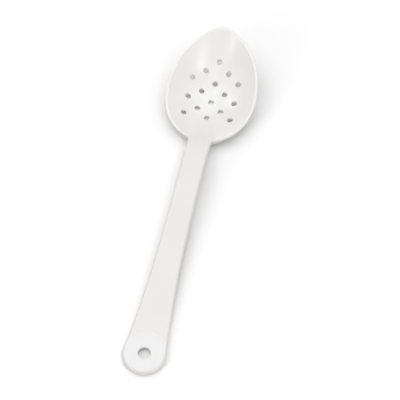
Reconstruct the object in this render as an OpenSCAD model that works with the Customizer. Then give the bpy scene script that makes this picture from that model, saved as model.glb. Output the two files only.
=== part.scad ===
// Perforated serving spoon, one moulding of white plastic, lying on a table with its bowl up.
// The tip points along +X, the handle along -X, and z is zero where the spoon rests.
// The moulding is drawn as four regions that meet face to face: bowl, neck, handle and hang end.

/* [Overall] */
// Length from the tip of the bowl to the end of the handle
spoon_length = 280; // [250:1:320]

/* [Bowl] */
// Width across the rim at its widest place
bowl_width = 68; // [58:1:78]
// Distance from the tip back to the widest place
bowl_front = 52; // [46:1:60]
// Distance from the widest place back to the rim behind the neck
bowl_back = 39.5; // [34:0.5:46]
// Distance from the widest place back to the deepest place of the floor
deep_offset = 2; // [0:0.5:8]
// Height of the rim above the table at the tip
tip_rim_height = 29.8; // [24:0.2:34]
// Height of the rim above the table at the widest place
mid_rim_height = 13.5; // [11:0.5:17]
// Height of the rim above the table behind the neck
back_rim_height = 8.4; // [7:0.2:11]
// Thickness of the floor at its deepest place
floor_wall = 2.3; // [1.6:0.1:3]
// Depth of the rim's edge, from its flat top to the outer wall
lip_depth = 2.2; // [1.6:0.1:3]
// Width of the flat lip along the sides
lip_width = 1.9; // [1.4:0.1:2.6]
// Width of the flat lip at the tip
tip_lip_width = 3; // [1.4:0.1:4]
// Radius of the lip's outer edge
lip_round = 0.6; // [0.3:0.1:1]
// How much narrower than an ellipse the front of the rim is, at the tip
tip_taper_share = 0.286; // [0.1:0.01:0.4]
// How late the front of the rim draws in towards the tip
tip_taper_power = 4.7; // [2:0.1:6]

/* [Perforations] */
// Diameter of each drain hole
hole_d = 4.2; // [3:0.1:6]
// Distance from the tip to the first hole
first_hole = 21; // [18:0.5:26]
// Distance between rows, along the spoon
row_pitch = 7.6; // [6:0.1:8]
// Distance between neighbouring columns, across the spoon
column_pitch = 8.8; // [7:0.1:9]

/* [Handle] */
// Thickness of the handle
handle_thickness = 4; // [3.4:0.1:5]
// Width of the neck and of the slim part of the handle
neck_width = 17.2; // [14:0.2:20]
// Distance from the tip to where the handle starts to widen
waist_from_tip = 120; // [110:1:140]
// Radius of the round end
end_radius = 15; // [13:0.5:18]
// Angle at which the sides run into the round end
flare_angle = 7.3; // [5:0.1:9]
// Angle at which the neck climbs out of the bowl
rise_angle = 18.5; // [14:0.5:24]
// Angle at which the handle falls towards the table
fall_angle = 4.4; // [3:0.1:5]
// Height over which the climb and the fall melt into one crest
crest_soft = 8; // [2:0.5:10]
// Length over which the fall turns level at the hang end
level_run = 10; // [4:1:20]
// Radius of the handle's long edges
edge_round = 1.3; // [0.6:0.1:1.6]

/* [Hang end] */
// Diameter of the hang hole
hang_d = 8.6; // [6:0.1:12]
// Diameter of the flat pad round the hang hole
pad_d = 26.6; // [20:0.2:26.6]
// Height of the pad above the handle
pad_height = 0.4; // [0.2:0.1:1]

/* [Hidden] */
plastic = [0.93, 0.93, 0.92];
rim_segments = 80;
floor_rings = 12;
wall_rings = 12;
round_steps = 3;
across_steps = 8;
row_count = 7;
column_reach = 2;
$fn = 64;
// One overrun for every cut
overrun = 1;

// Places along the spoon
tip_x = spoon_length / 2;
widest_x = tip_x - bowl_front;
back_x = widest_x - bowl_back;
deep_x = widest_x - deep_offset;
waist_x = tip_x - waist_from_tip;
hang_x = end_radius - tip_x;
flare_end_x = hang_x + end_radius * sin(flare_angle);
neck_half = neck_width / 2;
// The neck starts this far inside the rim, and its edges round off over the lip's own width
neck_run_share = 0.25;
neck_start_x = back_x + bowl_back * neck_run_share;
neck_end_x = waist_x;
edge_start_share = 0.04;
level_x = hang_x + end_radius;
tip_lip_power = 12;

// The sides widen along a power curve that arrives at the round end's own direction
flare_end_half = end_radius * cos(flare_angle);
flare_run = waist_x - flare_end_x;
flare_power = tan(flare_angle) * flare_run / (flare_end_half - neck_half);
function half_width(x) = let (s = max(waist_x - x, 0) / flare_run)
    neck_half + (flare_end_half - neck_half) * pow(s, flare_power);

// Smooth step from 0 to 1
function ease(s) = let (c = min(max(s, 0), 1)) c * c * (3 - 2 * c);
// The lower of two heights, with a soft turn where they are less than k apart
function soft_low(a, b, k) = min(a, b) - pow(max(k - abs(a - b), 0), 2) / (4 * k);

// Outline of the rim seen from above, from the tip at 0 to the neck at 180
function rim_x(t) = widest_x + (cos(t) > 0 ? bowl_front : bowl_back) * cos(t);
function rim_y(t) = bowl_width / 2 * sin(t) * (1 - tip_taper_share * pow(max(cos(t), 0), tip_taper_power));
// Height of the rim: one parabola through the tip, the widest place and the neck
function rim_z(x) =
    tip_rim_height * (x - widest_x) * (x - back_x) / (bowl_front * (bowl_front + bowl_back))
    - mid_rim_height * (x - tip_x) * (x - back_x) / (bowl_front * bowl_back)
    + back_rim_height * (x - tip_x) * (x - widest_x) / (bowl_back * (bowl_front + bowl_back));
function lip_at(t) = lip_width + (tip_lip_width - lip_width) * pow(max(cos(t), 0), tip_lip_power);

// The wall on one ray from the deepest place: floor, flat lip, round edge, outside, as [reach, height]
function wall_section(reach, lip, z) = concat(
    [for (i = [1:floor_rings]) let (s = i / floor_rings)
        [(reach - lip) * s, floor_wall + (z - floor_wall) * s * s]],
    [for (i = [0:round_steps]) let (a = 90 * i / round_steps)
        [reach - lip_round + lip_round * sin(a), z - lip_round + lip_round * cos(a)]],
    [for (i = [wall_rings:-1:1]) let (s = i / wall_rings) [reach * s, (z - lip_depth) * s * s]]);

function ray_points(t) = let (
    across = [rim_x(t) - deep_x, rim_y(t)],
    reach = norm(across),
    ray = across / reach)
    [for (p = wall_section(reach, lip_at(t), rim_z(rim_x(t)))) [deep_x + ray.x * p.x, ray.y * p.x, p.y]];

module bowl_shell() {
    rays = [for (i = [0:rim_segments - 1]) ray_points(360 * i / rim_segments)];
    rows = len(rays[0]);
    last = rim_segments * rows;
    points = concat([for (ray = rays) each ray], [[deep_x, 0, floor_wall], [deep_x, 0, 0]]);
    sides = [for (i = [0:rim_segments - 1]) for (j = [0:rows - 2])
        let (a = i * rows + j, b = (i + 1) % rim_segments * rows + j)
            each [[a, a + 1, b + 1], [a, b + 1, b]]];
    caps = [for (i = [0:rim_segments - 1])
        let (a = i * rows, b = (i + 1) % rim_segments * rows)
            each [[last, a, b], [last + 1, b + rows - 1, a + rows - 1]]];
    polyhedron(points = points, faces = concat(sides, caps), convexity = 6);
}

// Distance from the deepest place to the rim, towards the handle, in the direction [dx, dy]
function back_reach(dx, dy) = let (
    rear = bowl_back * bowl_back,
    side = bowl_width * bowl_width / 4,
    a = dx * dx / rear + dy * dy / side,
    b = -deep_offset * dx / rear,
    c = deep_offset * deep_offset / rear - 1)
    (sqrt(b * b - a * c) - b) / a;

// Top and underside of the bowl near the neck, at any place
function bowl_top(x, y) = let (
    r = norm([x - deep_x, y]),
    reach = back_reach((x - deep_x) / r, y / r),
    z = rim_z(deep_x + (x - deep_x) / r * reach),
    s = r / (reach - lip_width))
    floor_wall + (z - floor_wall) * s * s;
function bowl_under(x, y) = let (
    r = norm([x - deep_x, y]),
    reach = back_reach((x - deep_x) / r, y / r),
    z = rim_z(deep_x + (x - deep_x) / r * reach),
    s = r / reach)
    (z - lip_depth) * s * s;

// Top of the handle: it climbs from the rim, turns softly, falls and then lies level at the hang end
function handle_top(x) = let (
    climb = back_rim_height + tan(rise_angle) * (back_x + lip_width - x),
    run = max(x - level_x, 0),
    fallen = run > level_run ? run - level_run / 2 : run * run / (2 * level_run))
    soft_low(climb, handle_thickness + tan(fall_angle) * fallen, crest_soft);

// Top and underside of the moulding from the bowl's back wall to the hang end
function neck_share(x) = ease((neck_start_x - x) / (neck_start_x - back_x));
function top_z(x, y) = let (s = neck_share(x))
    s < 1 ? bowl_top(x, y) * (1 - s) + handle_top(x) * s : handle_top(x);
function under_z(x, y) = let (s = neck_share(x))
    s < 1 ? bowl_under(x, y) * (1 - s) + (handle_top(x) - handle_thickness) * s
          : handle_top(x) - handle_thickness;
function edge_at(x) = edge_round * (edge_start_share
    + (1 - edge_start_share) * ease((back_x + lip_width - x) / neck_half));

// One cross section: top strip, one rounded side, underside, other rounded side
function blade_section(x) = let (
    e = edge_at(x),
    flat = half_width(x) - e,
    right = [for (i = [1:round_steps]) let (a = 90 * i / round_steps)
        [flat + e * sin(a), top_z(x, flat) - e + e * cos(a)]],
    right_under = [for (i = [0:round_steps - 1]) let (a = 90 * i / round_steps)
        [flat + e * cos(a), under_z(x, flat) + e - e * sin(a)]],
    top = [for (i = [0:across_steps]) let (y = flat * (2 * i / across_steps - 1)) [y, top_z(x, y)]],
    under = [for (i = [0:across_steps]) let (y = flat * (1 - 2 * i / across_steps)) [y, under_z(x, y)]],
    left_under = [for (i = [round_steps - 1:-1:0]) [-right_under[i].x, right_under[i].y]],
    left = [for (i = [round_steps - 1:-1:0]) [-right[i].x, right[i].y]])
    [for (p = concat(top, right, right_under, under, left_under, left)) [x, p.x, p.y]];

// A length of the blade between two places along the spoon, closed by a strip of faces at each end
module blade(from_x, to_x, steps) {
    loops = [for (i = [0:steps]) blade_section(from_x + (to_x - from_x) * i / steps)];
    n = len(loops[0]);
    points = [for (loop = loops) each loop];
    sides = [for (i = [0:steps - 1]) for (j = [0:n - 1])
        let (a = i * n + j, b = i * n + (j + 1) % n)
            each [[a, a + n, b + n], [a, b + n, b]]];
    upper = [for (k = [0:n / 2 - 1]) (n - round_steps + k) % n];
    lower = [for (k = [0:n / 2 - 1]) n - round_steps - 1 - k];
    first_cap = [for (k = [0:n / 2 - 2])
        each [[upper[k], upper[k + 1], lower[k + 1]], [upper[k], lower[k + 1], lower[k]]]];
    last_cap = [for (f = first_cap) [for (v = [f[2], f[1], f[0]]) steps * n + v]];
    polyhedron(points = points, faces = concat(sides, first_cap, last_cap), convexity = 4);
}

// Staggered rows of drain holes, drawn straight up as the mould's pins are
module perforations() {
    for (row = [0:row_count - 1], column = [-column_reach:column_reach])
        if ((row + column) % 2 == 0 && abs(column) <= row)
            translate([tip_x - first_hole - row * row_pitch, column * column_pitch, -overrun])
                cylinder(d = hole_d, h = tip_rim_height + 2 * overrun);
}

module bowl() {
    color(plastic)
        difference() {
            bowl_shell();
            translate([back_x - overrun, -neck_half, -overrun])
                cube([neck_start_x - back_x + overrun, neck_width, tip_rim_height + 2 * overrun]);
            perforations();
        }
}

module neck() {
    color(plastic)
        blade(neck_start_x, neck_end_x, 24);
}

module handle() {
    color(plastic)
        blade(neck_end_x, level_x, 40);
}

module hang_end() {
    color(plastic)
        difference() {
            union() {
                round_end();
                translate([hang_x, 0, handle_thickness / 2])
                    cylinder(d = pad_d, h = handle_thickness / 2 + pad_height);
            }
            translate([hang_x, 0, -overrun])
                cylinder(d = hang_d, h = handle_thickness + pad_height + 2 * overrun);
        }
}

// Outline of the hang end seen from above, each place with the direction it faces: the flare, then the arc
flare_steps = 6;
arc_steps = 47;
function outline_place(k) = k < flare_steps
    ? let (x = level_x + (flare_end_x - level_x) * k / flare_steps) [x, half_width(x), 0, 1]
    : let (a = 90 - flare_angle + (180 + 2 * flare_angle) * (k - flare_steps) / arc_steps)
        [hang_x + end_radius * cos(a), end_radius * sin(a), cos(a), sin(a)];
half_outline = [for (k = [0:flare_steps + (arc_steps - 1) / 2]) outline_place(k)];
outline = concat(half_outline, [for (k = [len(half_outline) - 1:-1:0]) let (p = half_outline[k])
    [p[0], -p[1], p[2], -p[3]]]);

// The level round end: one outline drawn in and out at successive heights, so both edges are rounded
module round_end() {
    turns = [for (i = [0:round_steps]) let (a = 90 * i / round_steps)
        [edge_round * (1 - sin(a)), edge_round * (1 - cos(a))]];
    levels = concat(turns, [for (i = [round_steps:-1:0]) [turns[i].x, handle_thickness - turns[i].y]]);
    n = len(outline);
    points = [for (level = levels) for (p = outline) [p[0] - level.x * p[2], p[1] - level.x * p[3], level.y]];
    sides = [for (i = [0:len(levels) - 2]) for (j = [0:n - 1])
        let (a = i * n + j, b = i * n + (j + 1) % n)
            each [[a, b + n, b], [a, a + n, b + n]]];
    under = [for (k = [0:n / 2 - 2])
        each [[k, n - 2 - k, n - 1 - k], [k, k + 1, n - 2 - k]]];
    top = [for (f = under) [for (v = [f[2], f[1], f[0]]) (len(levels) - 1) * n + v]];
    polyhedron(points = points, faces = concat(sides, under, top), convexity = 4);
}

bowl();
neck();
handle();
hang_end();
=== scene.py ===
import math

import bmesh
import bpy
import numpy as np
from mathutils import Matrix, Vector


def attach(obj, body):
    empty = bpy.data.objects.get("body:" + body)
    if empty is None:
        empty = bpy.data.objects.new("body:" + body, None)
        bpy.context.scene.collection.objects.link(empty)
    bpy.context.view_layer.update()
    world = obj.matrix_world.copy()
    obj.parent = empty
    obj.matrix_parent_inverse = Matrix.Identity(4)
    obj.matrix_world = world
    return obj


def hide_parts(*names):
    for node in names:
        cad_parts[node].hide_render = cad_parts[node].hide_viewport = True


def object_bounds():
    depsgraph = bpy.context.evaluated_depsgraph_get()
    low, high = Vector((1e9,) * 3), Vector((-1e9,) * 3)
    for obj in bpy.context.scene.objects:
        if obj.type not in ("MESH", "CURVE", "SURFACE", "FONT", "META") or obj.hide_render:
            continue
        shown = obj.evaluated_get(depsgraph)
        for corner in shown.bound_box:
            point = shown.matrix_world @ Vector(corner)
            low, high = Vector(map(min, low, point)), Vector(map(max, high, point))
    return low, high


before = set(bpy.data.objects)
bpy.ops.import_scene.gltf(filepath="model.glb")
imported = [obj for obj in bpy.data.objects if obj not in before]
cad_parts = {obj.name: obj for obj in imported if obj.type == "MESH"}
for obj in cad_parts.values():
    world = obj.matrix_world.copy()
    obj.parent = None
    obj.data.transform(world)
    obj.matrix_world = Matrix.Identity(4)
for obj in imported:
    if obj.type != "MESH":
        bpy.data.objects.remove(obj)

cad_low, cad_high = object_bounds()


# The bowl
# An egg-shaped draining bowl, injection moulded in glossy white polycarbonate in one shot with the handle.
# It is a shell of even thickness, shallow by the handle and steep at the tip, with a flat lip round it.

mm = 0.001
spoon_length = (cad_high.x - cad_low.x) / mm
bowl_width = (cad_high.y - cad_low.y) / mm
tip_rim_height = cad_high.z / mm
bowl_front = 52.0
bowl_back = 39.5
deep_offset = 2.0
mid_rim_height = 13.5
back_rim_height = 8.4
floor_wall = 2.3
lip_depth = 2.2
lip_width = 1.9
tip_lip_width = 3.0
tip_lip_power = 12
tip_taper_share = 0.286
tip_taper_power = 4.7

tip_x = spoon_length / 2
widest_x = tip_x - bowl_front
back_x = widest_x - bowl_back
deep_x = widest_x - deep_offset


def ease(share):
    """A soft step from 0 to 1."""
    share = np.clip(share, 0, 1)
    return share * share * (3 - 2 * share)


def rim_plan(turn):
    """The rim's outline from above: turn 0 is the tip and pi is under the handle."""
    ahead = np.clip(np.cos(turn), 0, 1)
    x = widest_x + np.where(np.cos(turn) > 0, bowl_front, bowl_back) * np.cos(turn)
    y = bowl_width / 2 * np.sin(turn) * (1 - tip_taper_share * ahead ** tip_taper_power)
    return np.stack([x, y], axis=-1)


def rim_height(x):
    """One parabola through the tip, the widest place and the back of the rim."""
    tip_part = (x - widest_x) * (x - back_x) / (bowl_front * (bowl_front + bowl_back))
    mid_part = (x - tip_x) * (x - back_x) / (bowl_front * bowl_back)
    back_part = (x - tip_x) * (x - widest_x) / (bowl_back * (bowl_front + bowl_back))
    return tip_rim_height * tip_part - mid_rim_height * mid_part + back_rim_height * back_part


def lip_reach(turn):
    """The flat lip is even all round and widens at the tip."""
    ahead = np.clip(np.cos(turn), 0, 1)
    return lip_width + (tip_lip_width - lip_width) * ahead ** tip_lip_power


# The rim as seen from the deepest place: way, reach and lip width of each point of half of it
rim_samples = 2881
half_turns = np.linspace(0, math.pi, rim_samples)
half_rim = rim_plan(half_turns)
rim_way = np.arctan2(half_rim[:, 1], half_rim[:, 0] - deep_x)
rim_reach = np.hypot(half_rim[:, 0] - deep_x, half_rim[:, 1])
rim_lip = lip_reach(half_turns)


def bowl_section(x, y):
    """Run from the deepest place, and the rim's reach, lip and height that way."""
    way = np.arctan2(np.abs(y), x - deep_x)
    reach = np.interp(way, rim_way, rim_reach)
    lip = np.interp(way, rim_way, rim_lip)
    return np.hypot(x - deep_x, y), reach, lip, rim_height(deep_x + reach * np.cos(way))


def bowl_inside(x, y):
    """Height of the floor: on each way out, a parabola from the deepest place to the lip."""
    run, reach, lip, height = bowl_section(x, y)
    return floor_wall + (height - floor_wall) * (run / (reach - lip)) ** 2


def bowl_outside(x, y):
    """Height of the outer wall, which touches the table under the deepest place."""
    run, reach, lip, height = bowl_section(x, y)
    return (height - lip_depth) * (run / reach) ** 2


# The neck and the handle
# A blade of the same moulding: it climbs out of the bowl's back wall, turns softly at the crest, and falls
# straight to the level end, flaring as it goes. Small fillets join its sides to the lip.

handle_thickness = 4.0
neck_half = 8.6
end_radius = 15.0
waist_x = 20.0
flare = math.radians(7.3)
rise = math.radians(18.5)
fall = math.radians(4.4)
crest_soft = 8.0
level_start = 3.0
level_run = 4.0
hang_bore = 8.6
pad_height = 0.4
pad_reach = 17.5
pad_soft = 4.0
bore_round = 0.2
corner_fillet = 2.4
neck_run_share = 0.25
lip_fade = 5.0
gusset_fade = 10.0

hang_x = end_radius - tip_x
level_x = hang_x + end_radius + level_start
flare_end_x = hang_x + end_radius * math.sin(flare)
flare_end_half = end_radius * math.cos(flare)
flare_run = waist_x - flare_end_x
flare_power = math.tan(flare) * flare_run / (flare_end_half - neck_half)


def half_width(x):
    """The sides run straight along the neck and flare along a power curve to the round end."""
    return neck_half + (flare_end_half - neck_half) * (max(waist_x - x, 0) / flare_run) ** flare_power


def side_way(x):
    """Which way the handle's side faces, from above."""
    share = max(waist_x - x, 0) / flare_run
    slope = (flare_end_half - neck_half) * flare_power / flare_run * share ** (flare_power - 1)
    return math.atan2(1, slope)


def handle_top(x):
    """The lower of the climb out of the bowl and the fall to the level end, with a soft crest."""
    climb = back_rim_height + math.tan(rise) * (back_x + lip_width - x)
    run = np.maximum(x - level_x, 0)
    fallen = np.where(run > level_run, run - level_run / 2, run * run / (2 * level_run))
    straight = handle_thickness + math.tan(fall) * fallen
    near = np.maximum(crest_soft - np.abs(climb - straight), 0)
    return np.minimum(climb, straight) - near * near / (4 * crest_soft)


def handle_under(x):
    return handle_top(x) - handle_thickness


def end_rise(x, y):
    """The flat end stands a little higher than the handle, up to an arc round the hang hole."""
    return pad_height * ease((pad_reach - np.hypot(x - hang_x, y)) / pad_soft)


def facing(way):
    """The direction of a way, from above."""
    return np.array([math.cos(way), math.sin(way)])


# The fillet's circle touches the rim's outline and the straight side of the neck
rim_run = np.gradient(half_rim, axis=0)
rim_out = np.stack([rim_run[:, 1], -rim_run[:, 0]], axis=1)
rim_out /= np.linalg.norm(rim_out, axis=1)[:, None]
fillet_rise = (half_rim + corner_fillet * rim_out)[:, 1]
past_widest = half_turns > math.pi / 2
touch_turn = np.interp(-neck_half - corner_fillet, -fillet_rise[past_widest], half_turns[past_widest])
touch = rim_plan(touch_turn)
touch_out = np.array([np.interp(touch_turn, half_turns, rim_out[:, k]) for k in (0, 1)])
fillet_centre = touch + corner_fillet * touch_out
touch_way = math.atan2(touch_out[1], touch_out[0])
ray_way = math.atan2(touch[1], touch[0] - deep_x)


def fillet_way(share):
    """0 where the fillet leaves the rim and 1 where it meets the neck's side."""
    return touch_way + (math.pi / 2 - touch_way) * share


corner_way = fillet_way(0.5)
corner = fillet_centre - corner_fillet * facing(corner_way)
inner_corner = corner - lip_width * facing(corner_way)
neck_start_x = back_x + bowl_back * neck_run_share


def neck_share(x, y, fade):
    """How far a place is handle and no longer bowl: 1 on the neck, fading forward and to both sides."""
    inward = ease((neck_start_x - x) / (neck_start_x - inner_corner[0]))
    return inward * (1 - ease((np.abs(y) - corner[1]) / fade))


def top_height(x, y, bowl_height):
    """The upper surface, where the bowl and the handle melt together."""
    share = neck_share(x, y, lip_fade)
    return bowl_height * (1 - share) + handle_top(x) * share


def under_height(x, y, bowl_height):
    """The lower surface, where the bowl and the handle melt together."""
    share = neck_share(x, y, gusset_fade)
    return bowl_height * (1 - share) + handle_under(x) * share


# The edge
# The mould's edges: each is rounded, finely on the lip and fully on the handle. A parting line runs round the
# side at half height, where the two halves of the mould meet, and the side leans in a little from it.

rim_columns = 236
fillet_columns = 4
handle_rows = 150
handle_row_power = 1.5
arc_columns = 72
strip_columns = 32
lip_round = 0.45
lip_under_round = 0.45
lip_inner_round = 0.35
edge_round = 1.3
round_reach = 9.0
draft = 0.05
round_steps = 5

places, ways, rounds, under_rounds, rim_heights = [], [], [], [], []


def add_place(place, way, top_round, under_round, height):
    places.append(place)
    ways.append(way)
    rounds.append(top_round)
    under_rounds.append(under_round)
    rim_heights.append(height)


# From the left corner over the rim to the right corner
left_rim = []
for k in range(fillet_columns):
    share = 0.5 - 0.5 * k / fillet_columns
    place = fillet_centre - corner_fillet * facing(fillet_way(share))
    left_rim.append((place, ray_way + (corner_way - ray_way) * 2 * share, lip_width))
for turn in np.linspace(touch_turn, 0, rim_columns // 2 + 1):
    place = rim_plan(turn)
    left_rim.append((place, math.atan2(place[1], place[0] - deep_x), float(lip_reach(turn))))
right_rim = [(place * (1, -1), -way, lip) for place, way, lip in reversed(left_rim[:-1])]
lip_widths = []
for place, way, lip in left_rim + right_rim:
    add_place(place, way, lip_round, lip_under_round, rim_height(place[0]))
    lip_widths.append(lip)
bowl_columns = len(places)

# Along the left side of the handle, to the end's arc
left_side = []
for k in range(1, fillet_columns + 1):
    way = fillet_way(0.5 + 0.5 * k / fillet_columns)
    left_side.append((fillet_centre - corner_fillet * facing(way), way))
handle_run = 1 - (1 - np.linspace(0, 1, handle_rows)) ** handle_row_power
for x in (fillet_centre[0] + (flare_end_x - fillet_centre[0]) * handle_run)[1:]:
    left_side.append((np.array([x, half_width(x)]), side_way(x)))
left_run = []
for place, way in left_side:
    grown = float(ease((corner[0] - place[0]) / round_reach))
    top_round = lip_round + (edge_round - lip_round) * grown
    under_round = lip_under_round + (edge_round - lip_under_round) * grown
    left_run.append((place, way, top_round, under_round))
    add_place(place, way, top_round, under_round, 0)
arc_start = side_way(flare_end_x)
for way in np.linspace(arc_start, 2 * math.pi - arc_start, arc_columns + 1)[1:-1]:
    place = np.array([hang_x, 0]) + end_radius * facing(way)
    add_place(place, way, edge_round, edge_round, 0)
for place, way, top_round, under_round in reversed(left_run):
    add_place(place * (1, -1), -way, top_round, under_round, 0)

# places runs rim first, from the left corner to the right one, then back from the left corner round the end;
# the second run is turned round, so that the whole outline goes one way
order = list(range(bowl_columns)) + list(range(len(places) - 1, bowl_columns - 1, -1)) + [0]
plan = np.array(places)[order]
out = np.stack([np.cos(np.array(ways)[order]), np.sin(np.array(ways)[order])], axis=1)
top_r = np.array(rounds)[order][:, None]
under_r = np.array(under_rounds)[order][:, None]
rim_z = np.array(rim_heights)[order]
on_rim = np.array([k < bowl_columns for k in order])


def solid(place, z):
    """Places from above with their heights, as points."""
    return np.concatenate([place, np.reshape(z, (-1, 1))], axis=1)


def top_at(place):
    """Height of the upper surface at the outline: the lip on the bowl, and the blade behind it."""
    height = np.where(on_rim, rim_z, 0)
    z = top_height(place[:, 0], place[:, 1], height)
    return np.where(on_rim, z, handle_top(place[:, 0]) + end_rise(place[:, 0], place[:, 1]))


def under_at(place):
    """Height of the lower surface at the outline."""
    height = np.where(on_rim, rim_z - lip_depth, 0)
    z = under_height(place[:, 0], place[:, 1], height)
    return np.where(on_rim, z, handle_under(place[:, 0]))


def rounded(start, corner_points, end):
    """Rows of a quarter turn that leaves start for the corner and arrives at end."""
    bend = math.sqrt(0.5)
    rows = []
    for t in np.linspace(0, 1, round_steps + 1):
        a, b, c = (1 - t) ** 2, 2 * bend * t * (1 - t), t * t
        rows.append((a * start + b * corner_points + c * end) / (a + b + c))
    return rows


upward = np.array([0, 0, 1.0])
flat_end = plan - out * top_r
flat_end_row = solid(flat_end, top_at(flat_end))
under_end = plan - out * under_r
outside_z = bowl_outside(under_end[:, 0], under_end[:, 1])
outside_z = under_height(under_end[:, 0], under_end[:, 1], outside_z)
under_end_row = solid(under_end, np.where(on_rim, outside_z, handle_under(under_end[:, 0])))
side = plan - out * draft
top_corner = solid(side, top_at(side))
under_corner = solid(side, under_at(side))
side_top = top_corner - upward * top_r
side_under = under_corner + upward * under_r
parting = solid(plan, (side_top[:, 2] + side_under[:, 2]) / 2)
edge_rows = rounded(flat_end_row, top_corner, side_top)
edge_rows += [parting]
edge_rows += rounded(side_under, under_corner, under_end_row)
patches = [np.stack(edge_rows)]


# Inside and outside of the bowl, and the lip
# The floor, the outer wall and the lip, as the mould leaves them. The rows run out from the middle of the
# third hole on the centre line, so no pole is left on the floor. The lip's rows go on into the handle's top.

bowl_rows = 46
straight_angle = 1e-6
pole = np.array([88.6, 0.0])
across = np.linspace(-1, 1, strip_columns + 1)


def across_row(end, middle_x):
    """Points on an arc from the right side over the middle to the left end."""
    bulge = middle_x - end[0]
    angle = 2 * math.atan(bulge / end[1])
    if abs(angle) < straight_angle:
        return np.stack([end[0] + 0 * across, end[1] * across], axis=1)
    x = end[0] + end[1] * (np.cos(angle * across) - math.cos(angle)) / math.sin(angle)
    return np.stack([x, end[1] * np.sin(angle * across) / math.sin(angle)], axis=1)


def ring(rim_points, middle_x):
    """A closed row: the rim's points, then the neck's from right to left."""
    neck_points = across_row(rim_points[0], middle_x)
    return np.concatenate([rim_points, neck_points[1:]])


rim_plan_points = plan[:bowl_columns]
rim_out_ways = out[:bowl_columns]
lips = np.array(lip_widths)[:, None]
inner = rim_plan_points - rim_out_ways * lips
neck_inner_x = back_x + lip_width


def lip_row(rim_points, middle_x, flat):
    """A closed row on the flat of the lip, or else on the bowl's inside next to it."""
    row = ring(rim_points, middle_x)
    heights = bowl_inside(row[:, 0], row[:, 1])
    if flat:
        heights = np.concatenate([rim_z[:bowl_columns], rim_height(row[bowl_columns:, 0])])
    return solid(row, top_height(row[:, 0], row[:, 1], heights))


toward_pole = inner - pole
toward_pole /= np.linalg.norm(toward_pole, axis=1)[:, None]
bowl_edge = lip_row(inner - toward_pole * lip_inner_round, neck_inner_x + lip_inner_round, False)
lip_corner = lip_row(inner, neck_inner_x, True)
lip_start = lip_row(inner + rim_out_ways * lip_inner_round, neck_inner_x - lip_inner_round, True)
lip_end = lip_row(rim_plan_points - rim_out_ways * lip_round, back_x + lip_round, True)
lip_end[:bowl_columns] = flat_end_row[:bowl_columns]

inside_rows = []
for share in np.linspace(0, 1, bowl_rows + 1)[:-1]:
    row = pole + (bowl_edge[:, :2] - pole) * share
    z = top_height(row[:, 0], row[:, 1], bowl_inside(row[:, 0], row[:, 1]))
    inside_rows.append(solid(row, z))
inside_rows += rounded(bowl_edge, lip_corner, lip_start)
inside_rows += [(lip_start + lip_end) / 2, lip_end]
patches.append(np.stack(inside_rows))

outside_edge = ring(under_end_row[:bowl_columns, :2], back_x + lip_under_round)
outside_rows = []
for share in np.linspace(0, 1, bowl_rows + 1):
    row = pole + (outside_edge - pole) * share
    z = under_height(row[:, 0], row[:, 1], bowl_outside(row[:, 0], row[:, 1]))
    outside_rows.append(solid(row, z))
outside_rows[-1][:bowl_columns] = under_end_row[:bowl_columns]
patches.append(np.stack(outside_rows))


# Top and underside of the handle
# The two broad faces of the blade, plain as moulded. Their rows cross it from the neck to the end, and each
# is a shallow arc that bends round to the end's circle.

top_rows = [lip_end[bowl_columns - 1:]]
under_rows = [outside_rows[-1][bowl_columns - 1:]]
end_inset = end_radius - edge_round
middle_start = back_x + lip_round
for place, way, top_round, under_round in left_run:
    share = (place[0] - corner[0]) / (flare_end_x - corner[0])
    middle_x = middle_start + (hang_x + end_inset - middle_start) * share
    row = across_row(place - facing(way) * top_round, middle_x)
    top_rows.append(solid(row, handle_top(row[:, 0]) + end_rise(row[:, 0], row[:, 1])))
    row = across_row(place - facing(way) * under_round, middle_x)
    under_rows.append(solid(row, handle_under(row[:, 0])))
patches.append(np.stack(top_rows))
patches.append(np.stack(under_rows))


# The hanging end
# A round level end with a bore to hang the spoon by. Its face stands a little proud of the handle, up to a
# soft arc round the bore. The bore comes from a core pin in the mould, and its edges are rounded.

face_rings = 14
under_rings = 8

sector = across * arc_start
arc = np.linspace(arc_start, 2 * math.pi - arc_start, arc_columns + 1)[1:]
around = np.concatenate([sector, arc])
around_out = np.stack([np.cos(around), np.sin(around), 0 * around], axis=1)
hang_centre = np.array([hang_x, 0, 0])


def end_ring(radius, z):
    """A ring round the hang hole."""
    return hang_centre + around_out * radius + upward * z


bore_radius = hang_bore / 2
bore_start = bore_radius + bore_round
crown = handle_thickness + pad_height
end_rows = [
    end_ring(radius, handle_thickness + end_rise(hang_x + radius, 0))
    for radius in np.linspace(end_inset, bore_start, face_rings)
]
end_rows += rounded(end_rows[-1], end_ring(bore_radius, crown), end_ring(bore_radius, crown - bore_round))[1:]
end_rows += rounded(end_ring(bore_radius, bore_round), end_ring(bore_radius, 0), end_ring(bore_start, 0))
end_rows += [end_ring(radius, 0) for radius in np.linspace(bore_start, end_inset, under_rings)[1:]]
patches.append(np.stack(end_rows))


# One moulding
# The whole spoon leaves the mould as a single piece of plastic, with no seam between the bowl and the handle.
# So the patches above are welded into one closed mesh with its faces outward.

weld_reach = 0.002

verts, faces = [], []
for patch in patches:
    rows, columns = patch.shape[:2]
    base = len(verts)
    verts.extend((patch.reshape(-1, 3) * mm).tolist())
    for r in range(rows - 1):
        for c in range(columns - 1):
            first = base + r * columns + c
            faces.append((first, first + 1, first + columns + 1, first + columns))

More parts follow.
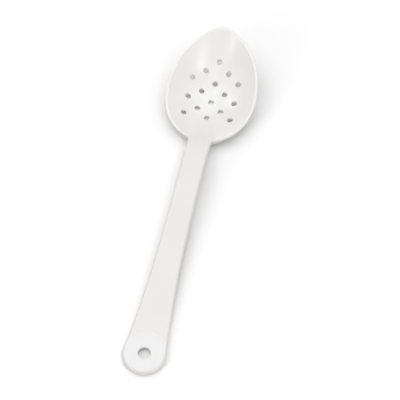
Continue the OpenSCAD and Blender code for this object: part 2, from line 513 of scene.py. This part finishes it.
blank_mesh = bpy.data.meshes.new("spoon_blank")
blank_mesh.from_pydata(verts, [], faces)
moulding = bmesh.new()
moulding.from_mesh(blank_mesh)
bmesh.ops.remove_doubles(moulding, verts=moulding.verts, dist=weld_reach * mm)
bmesh.ops.recalc_face_normals(moulding, faces=moulding.faces)
volume = sum(face.normal.z * face.calc_area() * face.calc_center_median().z for face in moulding.faces)
if volume < 0:
    bmesh.ops.reverse_faces(moulding, faces=moulding.faces)
moulding.to_mesh(blank_mesh)
moulding.free()
blank = bpy.data.objects.new("spoon_blank", blank_mesh)
bpy.context.scene.collection.objects.link(blank)


# The drain holes
# Sixteen round holes let liquid run out: seven staggered rows that widen from one hole near the tip, all
# cored straight down by pins in the mould. Each edge follows the bowl's surface and is slightly rounded.

hole_width = 4.2
hole_edge = 0.22
first_row_x = 119.0
row_pitch = 7.6
column_pitch = 8.8
hole_rows = 7
column_reach = 2
pin_sides = 48
pin_segments = 9
far_above = 0.5
far_below = -0.5

drill = bpy.data.node_groups.new("drain_holes", "GeometryNodeTree")
drill.is_modifier = True
drill.interface.new_socket("Geometry", in_out="INPUT", socket_type="NodeSocketGeometry")
hole_inputs = (
    ("Rows", "NodeSocketInt", hole_rows),
    ("Column Reach", "NodeSocketInt", column_reach),
    ("First Row X", "NodeSocketFloat", first_row_x * mm),
    ("Row Pitch", "NodeSocketFloat", row_pitch * mm),
    ("Column Pitch", "NodeSocketFloat", column_pitch * mm),
    ("Hole Width", "NodeSocketFloat", hole_width * mm),
    ("Edge Radius", "NodeSocketFloat", hole_edge * mm),
)
hole_sockets = {}
for name, kind, value in hole_inputs:
    hole_sockets[name] = drill.interface.new_socket(name, in_out="INPUT", socket_type=kind)
hole_sockets["Material"] = drill.interface.new_socket(
    "Material", in_out="INPUT", socket_type="NodeSocketMaterial",
)
drill.interface.new_socket("Geometry", in_out="OUTPUT", socket_type="NodeSocketGeometry")


def place_node(tree, kind, sockets=None, **settings):
    """A node with its settings, and each named or numbered socket set to a value or linked to an output."""
    node = tree.nodes.new(kind)
    for name, value in settings.items():
        setattr(node, name, value)
    for key, value in (sockets or {}).items():
        if isinstance(value, bpy.types.NodeSocket):
            tree.links.new(value, node.inputs[key])
        else:
            node.inputs[key].default_value = value
    return node


def drill_math(operation, *values):
    return place_node(drill, "ShaderNodeMath", dict(enumerate(values)), operation=operation).outputs[0]


def drill_vector(operation, sockets):
    return place_node(drill, "ShaderNodeVectorMath", sockets, operation=operation).outputs[0]


drill_in = place_node(drill, "NodeGroupInput").outputs
columns_wide = drill_math("MULTIPLY_ADD", drill_in["Column Reach"], 2.0, 1.0)
index = place_node(drill, "GeometryNodeInputIndex").outputs[0]
row_number = drill_math("FLOOR", drill_math("DIVIDE", index, columns_wide))
column_count = drill_math("FLOORED_MODULO", index, columns_wide)
column_number = drill_math("SUBTRACT", column_count, drill_in["Column Reach"])
row_back = drill_math("MULTIPLY", row_number, drill_in["Row Pitch"])
row_x = drill_math("SUBTRACT", drill_in["First Row X"], row_back)
column_y = drill_math("MULTIPLY", column_number, drill_in["Column Pitch"])
hole_place = place_node(drill, "ShaderNodeCombineXYZ", {"X": row_x, "Y": column_y})
hole_count = drill_math("MULTIPLY", drill_in["Rows"], columns_wide)
hole_points = place_node(
    drill, "GeometryNodePoints",
    {"Count": hole_count, "Position": hole_place.outputs[0]},
)

# A hole stays where row and column make an even number, and the rows widen by one column each way
odd = drill_math("FLOORED_MODULO", drill_math("ADD", row_number, column_number), 2.0)
row_half_width = drill_math("ADD", row_number, 0.5)
too_wide = drill_math("GREATER_THAN", drill_math("ABSOLUTE", column_number), row_half_width)
used = place_node(
    drill, "GeometryNodeDeleteGeometry",
    {"Geometry": hole_points.outputs[0], "Selection": drill_math("MAXIMUM", odd, too_wide)},
)

# The pin is drawn two units high, so that its level runs from -1 at its foot to 1 at its top
pin_radius = drill_math("MULTIPLY", drill_in["Hole Width"], 0.5)
pin = place_node(
    drill, "GeometryNodeMeshCylinder",
    {"Vertices": pin_sides, "Side Segments": pin_segments, "Radius": pin_radius, "Depth": 2.0},
    fill_type="TRIANGLE_FAN",
)
position = place_node(drill, "GeometryNodeInputPosition").outputs[0]
pin_parts = place_node(drill, "ShaderNodeSeparateXYZ", {0: position}).outputs
pin_level = place_node(
    drill, "GeometryNodeStoreNamedAttribute",
    {"Geometry": pin.outputs["Mesh"], "Name": "level", "Value": pin_parts["Z"]},
    data_type="FLOAT", domain="POINT",
)
pin_out = drill_vector("MULTIPLY", {0: position, 1: (1, 1, 0)})
pin_out = drill_vector("SCALE", {0: pin_out, "Scale": drill_math("DIVIDE", 1.0, pin_radius)})
pin_ready = place_node(
    drill, "GeometryNodeStoreNamedAttribute",
    {"Geometry": pin_level.outputs[0], "Name": "outward", "Value": pin_out},
    data_type="FLOAT_VECTOR", domain="POINT",
)
pins = place_node(
    drill, "GeometryNodeInstanceOnPoints",
    {"Points": used.outputs[0], "Instance": pin_ready.outputs[0]},
)
pins = place_node(drill, "GeometryNodeRealizeInstances", {"Geometry": pins.outputs[0]})

# From the middle of the pin to its end: straight, then a rounded flare that leaves through the surface
level = place_node(drill, "GeometryNodeInputNamedAttribute", {"Name": "level"}, data_type="FLOAT").outputs[0]
outward = place_node(
    drill, "GeometryNodeInputNamedAttribute", {"Name": "outward"}, data_type="FLOAT_VECTOR",
).outputs[0]
toward_end = drill_math("ABSOLUTE", level)


def pin_profile(points):
    """A broken line over the pin's level, in edge radii."""
    curve = place_node(drill, "ShaderNodeFloatCurve", {"Value": toward_end})
    curve.mapping.use_clip = False
    line = curve.mapping.curves[0]
    line.points[0].location = points[0]
    line.points[1].location = points[-1]
    for x, y in points[1:-1]:
        line.points.new(x, y)
    for point in line.points:
        point.handle_type = "VECTOR"
    curve.mapping.update()
    return drill_math("MULTIPLY", curve.outputs[0], drill_in["Edge Radius"])


# How far out the pin's wall stands at each of its rings, and how deep the ring lies under the bowl's surface
ring_levels = [k / pin_segments for k in (1, 3, 5, 7, 9)]
flare_outs = (0, 0, 0.134, 0.5, 1.77)
flare_depths = (1.3, 1.0, 0.5, 0.134, -0.6)
pin_flare = pin_profile(list(zip(ring_levels, flare_outs)))
pin_depth = pin_profile(list(zip(ring_levels, flare_depths)))
flared = drill_vector("SCALE", {0: outward, "Scale": pin_flare})
flared = drill_vector("ADD", {0: position, 1: flared})
flared_parts = place_node(drill, "ShaderNodeSeparateXYZ", {0: flared}).outputs


def bowl_surface(from_z, direction):
    """Height of the bowl's surface over each point of the pins, met from above or below."""
    start = place_node(
        drill, "ShaderNodeCombineXYZ",
        {"X": flared_parts["X"], "Y": flared_parts["Y"], "Z": from_z},
    )
    ray = place_node(
        drill, "GeometryNodeRaycast",
        {
            "Target Geometry": drill_in["Geometry"],
            "Source Position": start.outputs[0],
            "Ray Direction": (0, 0, direction),
            "Ray Length": 1.0,
        },
    )
    return place_node(drill, "ShaderNodeSeparateXYZ", {0: ray.outputs["Hit Position"]}).outputs["Z"]


inside_pin_z = drill_math("SUBTRACT", bowl_surface(far_above, -1.0), pin_depth)
outside_pin_z = drill_math("ADD", bowl_surface(far_below, 1.0), pin_depth)
upper = drill_math("GREATER_THAN", level, 0.0)
upper_z = drill_math("MULTIPLY", upper, inside_pin_z)
lower_z = drill_math("MULTIPLY", drill_math("SUBTRACT", 1.0, upper), outside_pin_z)
pin_z = drill_math("ADD", upper_z, lower_z)
fitted = place_node(
    drill, "ShaderNodeCombineXYZ",
    {"X": flared_parts["X"], "Y": flared_parts["Y"], "Z": pin_z},
)
pins = place_node(
    drill, "GeometryNodeSetPosition",
    {"Geometry": pins.outputs[0], "Position": fitted.outputs[0]},
)
drained = place_node(
    drill, "GeometryNodeMeshBoolean", {"Mesh 2": pins.outputs[0]},
    operation="DIFFERENCE", solver="EXACT",
)
drill.links.new(drill_in["Geometry"], drained.inputs["Mesh 1"])
drained = place_node(drill, "GeometryNodeRealizeInstances", {"Geometry": drained.outputs["Mesh"]})
drained = place_node(
    drill, "GeometryNodeSetMaterial",
    {"Geometry": drained.outputs[0], "Material": drill_in["Material"]},
)
place_node(drill, "NodeGroupOutput", {"Geometry": drained.outputs[0]})


# White plastic
# Glossy white moulded polycarbonate, a little warm. The mould's polish is slightly uneven, and the end's
# face is finely matt. Use has left hairline scratches. The colour carries painted light: a lighter end face,
# painted highlights on the bowl's floor and on the flat of the lip, and lighter steep walls inside the bowl.
# Painted shade greys the edges and the sides outside the bowl.

white_plastic = bpy.data.materials.new("white_plastic")
white_plastic.use_nodes = True
plastic = white_plastic.node_tree
plastic.nodes.clear()


def finish_node(kind, sockets=None, **settings):
    return place_node(plastic, kind, sockets, **settings)


def finish_math(operation, *values):
    return finish_node("ShaderNodeMath", dict(enumerate(values)), operation=operation).outputs[0]


def finish_vector(operation, *values):
    return finish_node("ShaderNodeVectorMath", dict(enumerate(values)), operation=operation)


def finish_range(value, low, high, to_low, to_high):
    """A soft step from to_low, where the value is low, to to_high, where it is high."""
    sockets = {"Value": value, "From Min": low, "From Max": high, "To Min": to_low, "To Max": to_high}
    return finish_node("ShaderNodeMapRange", sockets, interpolation_type="SMOOTHSTEP").outputs[0]


def finish_mix(share, under, over):
    """One colour over another, with the share of it that shows."""
    layers = {0: share, 6: under, 7: over}
    return finish_node("ShaderNodeMix", layers, data_type="RGBA").outputs[2]


def finish_mask(name):
    """A mask that the spoon's mesh carries, point by point."""
    return finish_node("ShaderNodeAttribute", attribute_name=name, attribute_type="GEOMETRY").outputs["Fac"]


surface = finish_node("ShaderNodeTexCoord")
where = surface.outputs["Object"]


def finish_noise(scale, detail, roughness, vector=None):
    sockets = {"Vector": vector or where, "Scale": scale, "Detail": detail, "Roughness": roughness}
    return finish_node("ShaderNodeTexNoise", sockets).outputs["Fac"]


def level_distance(x, y):
    """How far a place is from the given one, in millimetres from above."""
    away = finish_vector("SUBTRACT", where, (x * mm, y * mm, 0)).outputs[0]
    away = finish_vector("MULTIPLY", away, (1, 1, 0)).outputs[0]
    return finish_vector("LENGTH", away).outputs["Value"]


# Where the surface is steep, and the masks of its edges, of the flat of its lip and of the field inside it
facing_up = finish_node("ShaderNodeSeparateXYZ", {0: surface.outputs["Normal"]}).outputs["Z"]
steep = finish_range(finish_math("ABSOLUTE", facing_up), 0.2, 0.65, 1.0, 0.0)
bent_edge = finish_mask("edge")
lip_flat = finish_mask("lip")
bowl_field = finish_mask("field")

# The level face of the end, up to its arc round the hang hole; its colour is painted lighter as painted light
face_low = 15.9
face_high = 17.1
end_face = finish_range(level_distance(hang_x, 0), face_low * mm, face_high * mm, 1.0, 0.0)
end_face = finish_math("MULTIPLY", end_face, finish_range(facing_up, 0.85, 0.98, 0.0, 1.0))

# A painted highlight on the floor of the bowl, strongest in its deepest part and finely broken
floor_highlight_x = 91.0
floor_highlight_y = 1.0
floor_highlight_core = 3.0
floor_highlight_reach = 21.0
floor_highlight_grain = 650.0
floor_highlight = finish_range(level_distance(floor_highlight_x, floor_highlight_y), floor_highlight_core * mm, floor_highlight_reach * mm, 1.0, 0.0)
floor_highlight = finish_math("MULTIPLY", floor_highlight, finish_range(facing_up, 0.3, 0.7, 0.0, 1.0))
floor_highlight = finish_math("MULTIPLY", floor_highlight, finish_range(finish_noise(floor_highlight_grain, 2.0, 0.6), 0.3, 0.7, 0.75, 1.0))

# Painted shade on the edges and less on the steep sides, in fine breaks, and none inside the bowl; the
# same mask also dulls the gloss there
edge_shade_grain = 420.0
side_shade_share = 0.6
edge_shade_cover = 0.6
edge_shade_and_dulling = finish_math("MAXIMUM", bent_edge, finish_math("MULTIPLY", steep, side_shade_share))
edge_shade_and_dulling = finish_math("MULTIPLY", edge_shade_and_dulling, finish_range(finish_noise(edge_shade_grain, 3.0, 0.6), 0.3, 0.7, 0.7, 1.0))
edge_shade_and_dulling = finish_math("MULTIPLY", edge_shade_and_dulling, finish_math("SUBTRACT", 1.0, bowl_field))

# Colour: broad clouding of the resin and faint flow lines along the handle, then painted light on the end
# face, the bowl's floor, the lip and the steep walls inside the bowl, and painted shade on the edges and
# sides
cloud_scale = 22.0
flow_stretch = (14.0, 160.0, 160.0)
resin_dark = (0.748, 0.735, 0.720, 1)
resin_light = (0.768, 0.755, 0.741, 1)
flow_white = (0.782, 0.773, 0.758, 1)
# The four whites below are painted light, and the grey after them is painted shade.
face_painted_light = (0.785, 0.788, 0.785, 1)
floor_painted_highlight = (0.850, 0.850, 0.850, 1)
lip_painted_highlight = (0.802, 0.797, 0.787, 1)
steep_wall_painted_light = (0.87, 0.865, 0.855, 1)
painted_edge_shade = (0.603, 0.593, 0.573, 1)
clouds = finish_range(finish_noise(cloud_scale, 2.0, 0.5), 0.3, 0.7, 0.0, 1.0)
flow_space = finish_node("ShaderNodeMapping", {"Vector": where, "Scale": flow_stretch}).outputs[0]
flow_lines = finish_range(finish_noise(1.0, 3.0, 0.55, flow_space), 0.45, 0.8, 0.0, 0.35)
colour = finish_mix(clouds, resin_dark, resin_light)
colour = finish_mix(flow_lines, colour, flow_white)
# Painted light: the end's level face is made lighter.
colour = finish_mix(end_face, colour, face_painted_light)
# Painted highlight on the bowl's floor.
colour = finish_mix(floor_highlight, colour, floor_painted_highlight)
# Painted highlight on the flat of the lip.
colour = finish_mix(lip_flat, colour, lip_painted_highlight)
# Painted light: the steep walls of the holes and of the bowl's inside are made lighter.
colour = finish_mix(finish_math("MULTIPLY", steep, bowl_field), colour, steep_wall_painted_light)
# Painted shade on the edges and the steep sides.
colour = finish_mix(finish_math("MULTIPLY", edge_shade_and_dulling, edge_shade_cover), colour, painted_edge_shade)

# Polish: uneven gloss, hairline scratches two ways in patches, and duller edges and end face
polish_scale = 65.0
gloss_best = 0.17
gloss_least = 0.25
hairline_stretch = (60.0, 2600.0, 60.0)
hairline_ways = (0.5, -0.9)
used_scale = 45.0
scratch_dulling = 0.06
edge_dulling = 0.12
face_dulling = 0.15
polish = finish_range(finish_noise(polish_scale, 3.0, 0.55), 0.25, 0.75, gloss_best, gloss_least)


def hairlines(way):
    """Fine scratches that all run one way."""
    sockets = {"Vector": where, "Rotation": (0, 0, way), "Scale": hairline_stretch}
    turned = finish_node("ShaderNodeMapping", sockets).outputs[0]
    return finish_range(finish_noise(1.0, 1.0, 0.5, turned), 0.68, 0.76, 0.0, 1.0)


scratches = finish_math("MAXIMUM", *[hairlines(way) for way in hairline_ways])
used_parts = finish_range(finish_noise(used_scale, 2.0, 0.5), 0.45, 0.65, 0.0, 1.0)
scratches = finish_math("MULTIPLY", scratches, used_parts)
rough = finish_math("ADD", polish, finish_math("MULTIPLY", scratches, scratch_dulling))
rough = finish_math("ADD", rough, finish_math("MULTIPLY", edge_shade_and_dulling, edge_dulling))
rough = finish_math("ADD", rough, finish_math("MULTIPLY", end_face, face_dulling))

# Relief: the faint orange peel of a polished mould, with the scratches cut into it
peel_scale = 900.0
wave_scale = 120.0
peel_height = 0.35
scratch_depth = 0.35
relief_strength = 0.25
relief_height = 0.12
refraction = 1.585
peel = finish_math("MULTIPLY", finish_noise(peel_scale, 2.0, 0.5), peel_height)
relief = finish_math("ADD", peel, finish_noise(wave_scale, 1.0, 0.4))
relief = finish_math("SUBTRACT", relief, finish_math("MULTIPLY", scratches, scratch_depth))
bump = finish_node(
    "ShaderNodeBump",
    {"Height": relief, "Strength": relief_strength, "Distance": relief_height * mm},
)
shader = finish_node(
    "ShaderNodeBsdfPrincipled",
    {"Base Color": colour, "Roughness": rough, "Normal": bump.outputs[0], "IOR": refraction},
)
finish_node("ShaderNodeOutputMaterial", {"Surface": shader.outputs[0]})


# The finished spoon
# The moulding with its holes cored, trimmed of slivers. Its faces are smooth, and creases stay crisp where
# the holes pierce the wall. The mesh carries the masks that the plastic reads.

sliver = 0.001
crisp_bend = math.radians(27)
edge_mask_bend = 5.0
edge_mask_bend_range = 12.0
lip_tolerance = 0.08
lip_mask_round = 0.7
lip_mask_depth = 0.6
field_fade = 3.0

drilling = blank.modifiers.new("drain_holes", "NODES")
drilling.node_group = drill
for name, kind, value in hole_inputs:
    drilling[hole_sockets[name].identifier] = value
drilling[hole_sockets["Material"].identifier] = white_plastic
drilled = blank.evaluated_get(bpy.context.evaluated_depsgraph_get())
spoon_mesh = bpy.data.meshes.new_from_object(drilled)
blank.modifiers.clear()
bpy.data.objects.remove(blank)
spoon_mesh.name = "spoon"

shaping = bmesh.new()
shaping.from_mesh(spoon_mesh)
bmesh.ops.dissolve_degenerate(shaping, edges=shaping.edges, dist=sliver * mm)
edge_layer = shaping.verts.layers.float.new("edge")
lip_layer = shaping.verts.layers.float.new("lip")
field_layer = shaping.verts.layers.float.new("field")
spots = np.array([vert.co for vert in shaping.verts]) / mm
# Masks for the plastic: the lip's flat, which carries a painted highlight, and the field inside the bowl.
run, reach, lip, height = bowl_section(spots[:, 0], spots[:, 1])
lip_share = 1 - neck_share(spots[:, 0], spots[:, 1], lip_fade)
lip_height = top_height(spots[:, 0], spots[:, 1], height)
lip_share *= (reach - run > lip_round * lip_mask_round) & (reach - run < lip + lip_tolerance)
lip_share *= spots[:, 2] > lip_height - lip_round * lip_mask_depth
field_share = ease((reach - lip - run) / field_fade)
for vert, share, field in zip(shaping.verts, lip_share, field_share):
    # Sharp bends carry the painted shade of the edges and the dulling of their gloss.
    bend = max((edge.calc_face_angle(0) for edge in vert.link_edges), default=0)
    edge_share = min(max(math.degrees(bend) - edge_mask_bend, 0) / edge_mask_bend_range, 1)
    vert[edge_layer] = edge_share * (1 - share)
    vert[lip_layer] = share
    vert[field_layer] = field
for face in shaping.faces:
    face.smooth = True
for edge in shaping.edges:
    edge.smooth = edge.calc_face_angle(0) < crisp_bend
shaping.to_mesh(spoon_mesh)
shaping.free()
spoon = bpy.data.objects.new("spoon", spoon_mesh)
bpy.context.scene.collection.objects.link(spoon)
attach(spoon, "root")
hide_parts("bowl", "neck", "handle", "hang_end")


# The table
# A plain white sheet of paper that the spoon lies on, as for a catalogue picture. It keeps the soft shadow,
# and what is seen of it is white, while the light that it throws back up is duller.

floor_size = 3.0
floor_gap = 0.05
fibre_scale = 300.0
paper_dark = (0.49, 0.49, 0.49, 1)
paper_light = (0.51, 0.51, 0.51, 1)
paper_white = (0.99, 0.99, 0.99, 1)


def seen_directly(tree):
    """1 for what the camera sees, straight, mirrored or through glass, and 0 for light that bounces."""
    path = place_node(tree, "ShaderNodeLightPath").outputs
    sockets = {0: path["Is Camera Ray"], 1: path["Is Glossy Ray"]}
    seen = place_node(tree, "ShaderNodeMath", sockets, operation="MAXIMUM").outputs[0]
    sockets = {0: seen, 1: path["Is Transmission Ray"]}
    return place_node(tree, "ShaderNodeMath", sockets, operation="MAXIMUM").outputs[0]


floor_mesh = bpy.data.meshes.new("floor")
floor_signs = ((-1, -1), (1, -1), (1, 1), (-1, 1))
floor_corners = [(x * floor_size / 2, y * floor_size / 2, 0) for x, y in floor_signs]
floor_mesh.from_pydata(floor_corners, [], [(0, 1, 2, 3)])
floor = bpy.data.objects.new("floor", floor_mesh)
floor.location = (0, 0, -floor_gap * mm)
bpy.context.scene.collection.objects.link(floor)
paper = bpy.data.materials.new("white_paper")
paper.use_nodes = True
sheet = paper.node_tree
sheet.nodes.clear()
paper_fibre = place_node(sheet, "ShaderNodeTexNoise", {"Scale": fibre_scale, "Detail": 3.0})
paper_tone = place_node(
    sheet, "ShaderNodeMix",
    {0: paper_fibre.outputs["Fac"], 6: paper_dark, 7: paper_light},
    data_type="RGBA",
)
bounce = place_node(sheet, "ShaderNodeBsdfDiffuse", {"Color": paper_tone.outputs[2]})
bright = place_node(sheet, "ShaderNodeBsdfDiffuse", {"Color": paper_white})
paper_mix = place_node(
    sheet, "ShaderNodeMixShader",
    {0: seen_directly(sheet), 1: bounce.outputs[0], 2: bright.outputs[0]},
)
place_node(sheet, "ShaderNodeOutputMaterial", {"Surface": paper_mix.outputs[0]})
floor_mesh.materials.append(paper)


# Light
# A white room with soft panels overhead, ahead and to the left, low cards that light the sides, and three
# small strips whose reflections show in the bowl near its tip. The shadow falls softly to the right.

wall_glow = 0.425

room = bpy.data.worlds.new("white_room")
room.use_nodes = True
bpy.context.scene.world = room
walls = room.node_tree
walls.nodes.clear()
wall_light = place_node(walls, "ShaderNodeBackground", {"Color": (1, 1, 1, 1), "Strength": wall_glow})
wall_white = place_node(walls, "ShaderNodeBackground", {"Color": (1, 1, 1, 1), "Strength": 1.0})
wall_mix = place_node(
    walls, "ShaderNodeMixShader",
    {0: seen_directly(walls), 1: wall_light.outputs[0], 2: wall_white.outputs[0]},
)
place_node(walls, "ShaderNodeOutputWorld", {"Surface": wall_mix.outputs[0]})

view_turn = math.radians(12.32)
view_rise = math.radians(57.63)
photo_right = Vector((math.sin(view_turn), -math.cos(view_turn), 0))
photo_ahead = Vector((math.cos(view_turn), math.sin(view_turn), 0))
lamp_distance = 1.5

# Each lamp: turn from the picture's right, rise above the table, both in degrees, width in metres, and watts
lamps = (
    ("overhead", 0, 90, 1.6, 2.85),
    ("overhead_left", 198, 67, 1.1, 1.85),
    ("overhead_near", 260, 79, 0.5, 0.78),
    ("ahead_right_panel", 50, 45, 1.4, 2.83),
    ("ahead_panel", 72, 56, 1.2, 1.44),
    ("ahead_low_panel", 90, 35, 0.9, 1.1),
    ("window", 132, 44, 0.4, 1.27),
    ("left_panel", 164, 50, 0.8, 1.91),
    ("right_card", 315, 8, 0.4, 7.9),
    ("left_card", 218, 19, 0.4, 4.5),
    ("back_card", 112, 7, 0.6, 2.45),
    ("right_strip", 314, 56, 0.3, 1.0),
    ("middle_strip", 298, 47, 0.3, 0.5),
    ("left_strip", 220, 40, 0.16, 0.7),
)
for name, lamp_turn, lamp_rise, lamp_width, watts in lamps:
    lamp_data = bpy.data.lights.new(name, "AREA")
    lamp_data.shape = "SQUARE"
    lamp_data.size = lamp_width
    lamp_data.energy = watts
    lamp = bpy.data.objects.new(name, lamp_data)
    aside = math.radians(lamp_turn)
    above = math.radians(lamp_rise)
    level_way = photo_right * math.cos(aside) + photo_ahead * math.sin(aside)
    lamp_way = level_way * math.cos(above) + Vector((0, 0, math.sin(above)))
    lamp.location = lamp_way * lamp_distance
    lamp.rotation_euler = (-lamp_way).to_track_quat("-Z", "Y").to_euler()
    bpy.context.scene.collection.objects.link(lamp)


# The camera
# A long lens from behind the hanging end, looking down along the handle, as the photograph was taken.
# Its focal length is given in pixels of a picture 400 wide.

picture_width = 400
focal_pixels = 1392.46
camera_distance = 1.0
aim = Vector((3.714 * mm, -10.059 * mm, 0))
camera_data = bpy.data.cameras.new("camera")
camera_data.sensor_fit = "HORIZONTAL"
camera_data.sensor_width = 36
camera_data.lens = camera_data.sensor_width * focal_pixels / picture_width
camera_data.clip_end = 20
camera = bpy.data.objects.new("camera", camera_data)
look = photo_ahead * math.cos(view_rise) - Vector((0, 0, math.sin(view_rise)))
up = photo_right.cross(look)
turn = Matrix((photo_right, up, -look)).transposed().to_4x4()
camera.matrix_world = Matrix.Translation(aim - look * camera_distance) @ turn
bpy.context.scene.collection.objects.link(camera)
bpy.context.scene.camera = camera
bpy.context.scene.view_settings.view_transform = "Standard"
